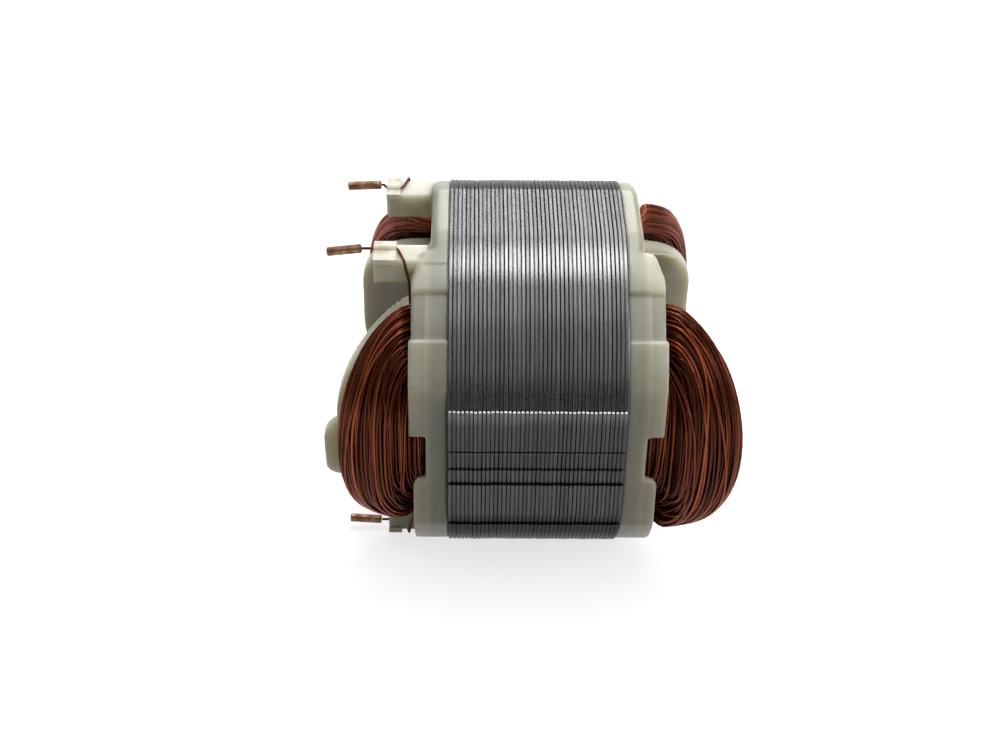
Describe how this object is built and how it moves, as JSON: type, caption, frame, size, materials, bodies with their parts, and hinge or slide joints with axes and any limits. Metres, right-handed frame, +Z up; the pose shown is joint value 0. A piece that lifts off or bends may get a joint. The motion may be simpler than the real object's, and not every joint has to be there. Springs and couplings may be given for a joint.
{
  "type": "wound stator",
  "caption": "Wound stator of a small universal motor: a laminated steel core with two saddle coils held by moulded nylon end frames, with crimped leads at one end.",
  "frame": {"origin": "on the bore axis, in the middle of the lamination stack", "axes": "+X along the bore axis, away from the lead end; -Y through the middle of the front pole; +Z up"},
  "size_m": [0.0517, 0.0442, 0.046],
  "materials": {
    "lamination_steel": "bare sheet edges, lightly oiled",
    "frame_nylon": "pale natural nylon, slightly see-through",
    "enamelled_copper": "glossy red-brown wire enamel",
    "slot_paper": "plain insulating sheet",
    "pin_copper": "dull copper",
    "pale_tape": "pale cloth tape"
  },
  "bodies": {
    "root": {"lamination_stack": "lamination_steel", "lead_end_frame": "frame_nylon", "plain_end_frame": "frame_nylon", "front_coil": "enamelled_copper", "rear_coil": "enamelled_copper", "slot_liner_front_upper": "slot_paper", "slot_liner_front_lower": "slot_paper", "slot_liner_rear_upper": "slot_paper", "slot_liner_rear_lower": "slot_paper", "lead_pin_front_upper": "pin_copper", "lead_pin_front_lower": "pin_copper", "lead_pin_rear_upper": "pin_copper", "lead_pin_rear_lower": "pin_copper", "lead_wire_front_upper": "enamelled_copper", "lead_wire_front_lower": "enamelled_copper", "lead_wire_rear_upper": "enamelled_copper", "lead_wire_rear_lower": "enamelled_copper", "lead_tape_front_upper": "pale_tape", "lead_tape_front_lower": "pale_tape", "lead_tape_rear_upper": "pale_tape", "lead_tape_rear_lower": "pale_tape"}
  },
  "joints": []
}
